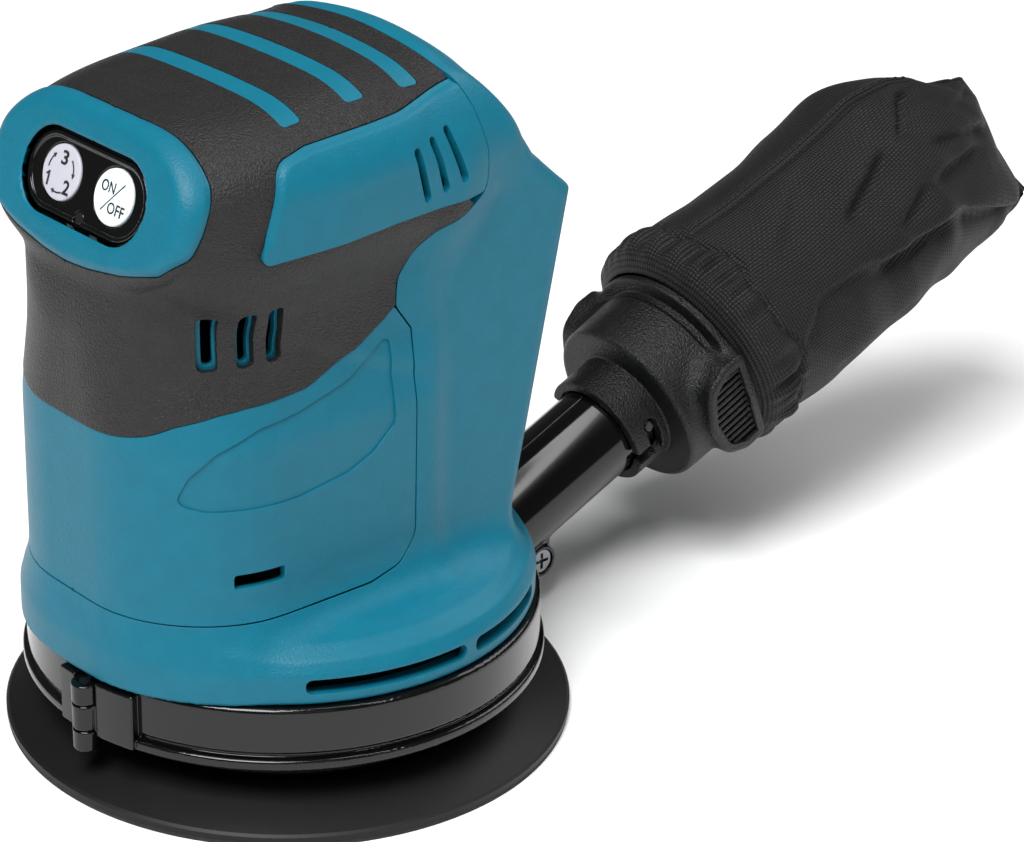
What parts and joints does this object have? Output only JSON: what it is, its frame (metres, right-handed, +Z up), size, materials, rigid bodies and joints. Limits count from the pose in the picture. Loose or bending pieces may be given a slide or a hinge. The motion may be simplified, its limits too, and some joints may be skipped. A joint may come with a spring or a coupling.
{
  "type": "cordless random orbital sander",
  "caption": "Upright palm-grip random orbital sander with a round pad, two push buttons, a battery bay and a fabric dust bag on a slanted tube.",
  "frame": {"origin": "on the motor axis at the sanding face of the pad, where the pad rests on the work", "axes": "+Z up along the motor axis, -Y towards the switch panel, +Y towards the battery bay and the dust bag, +X towards the tool's own left"},
  "size_m": [0.124, 0.293, 0.1534],
  "materials": {
    "teal_plastic": "moulded ABS, fine spark texture, satin",
    "grip_rubber": "soft overmoulded rubber with a fine sparkle texture",
    "gloss_black": "polished black plastic",
    "black_plastic": "black plastic, spark texture",
    "button_white": "pale rubberised button cap",
    "lens": "smoked clear plastic",
    "board": "circuit board with solder mask",
    "aluminium": "cast or extruded aluminium",
    "steel": "zinc plated or ground steel",
    "magnet": "sintered ferrite",
    "copper": "copper, enamelled or bare",
    "carbon": "carbon",
    "foam": "closed cell rubber foam, smooth skin",
    "hook": "hook face for hook-and-loop paper",
    "nylon": "woven nylon, gathered on elastic",
    "wire_red": "wire insulation",
    "capacitor_blue": "printed sleeve"
  },
  "bodies": {
    "root": {"base_housing_left": "teal_plastic", "base_housing_right": "teal_plastic", "front_housing_left": "teal_plastic", "front_housing_right": "teal_plastic", "grip_rubber_left": "grip_rubber", "grip_rubber_right": "grip_rubber", "switch_panel": "gloss_black", "lamp_lens": "lens", "switch_board": "board", "control_board": "board", "heat_sink": "aluminium", "filter_capacitor": "capacitor_blue", "terminal_block": "black_plastic", "terminal_blades": "steel", "base_screws": "steel", "front_screws": "steel", "motor_can": "steel", "motor_magnets": "magnet", "motor_endcap": "black_plastic", "motor_leads": "wire_red", "brush_holder": "black_plastic", "carbon_brushes": "carbon", "brush_springs": "steel", "upper_bearing": "steel", "lower_bearing": "steel", "bearing_plate": "aluminium", "bearing_plate_screws": "steel", "pad_brake": "grip_rubber"},
    "rotor": {"armature_core": "steel", "armature_windings": "copper", "commutator": "copper", "motor_shaft": "steel", "cooling_fan": "black_plastic", "eccentric_spindle": "steel", "spindle_screw": "steel", "counterweight": "steel", "dust_fan": "black_plastic"},
    "pad": {"pad_bearing": "steel", "pad_hub": "aluminium", "pad_plate": "black_plastic", "pad_screws": "steel", "pad_foam": "foam", "hook_face": "hook"},
    "speed_button": {"speed_button": "button_white"},
    "power_button": {"power_button": "button_white"},
    "nozzle": {"nozzle_ring_left": "gloss_black", "nozzle_ring_right": "gloss_black", "ring_hinge_pin": "steel", "clamp_screw": "steel", "clamp_nut": "steel"},
    "bag": {"bag_frame": "black_plastic", "dust_bag": "nylon"}
  },
  "joints": [
    {"name": "motor_spin", "type": "hinge", "parent": "root", "child": "rotor", "pos_m": [0, 0, 0.04], "axis": [0, 0, 1], "continuous": true},
    {"name": "pad_spin", "type": "hinge", "parent": "rotor", "child": "pad", "pos_m": [0.0014, 0, 0.016], "axis": [0, 0, 1], "continuous": true},
    {"name": "speed_press", "type": "slide", "parent": "root", "child": "speed_button", "axis": [0, 0.937, -0.3494], "range_m": [0, 0.0008], "stiffness_N_per_m": 1500, "springref_m": -0.001},
    {"name": "power_press", "type": "slide", "parent": "root", "child": "power_button", "axis": [0, 0.937, -0.3494], "range_m": [0, 0.0008], "stiffness_N_per_m": 1500, "springref_m": -0.001},
    {"name": "nozzle_turn", "type": "hinge", "parent": "root", "child": "nozzle", "pos_m": [0, 0, 0.021], "axis": [0, 0, 1], "range_deg": [-35, 35]},
    {"name": "bag_twist", "type": "hinge", "parent": "nozzle", "child": "bag", "pos_m": [0, 0.10543, 0.04056], "axis": [0, -0.9239, -0.3827], "range_deg": [0, 25]}
  ]
}
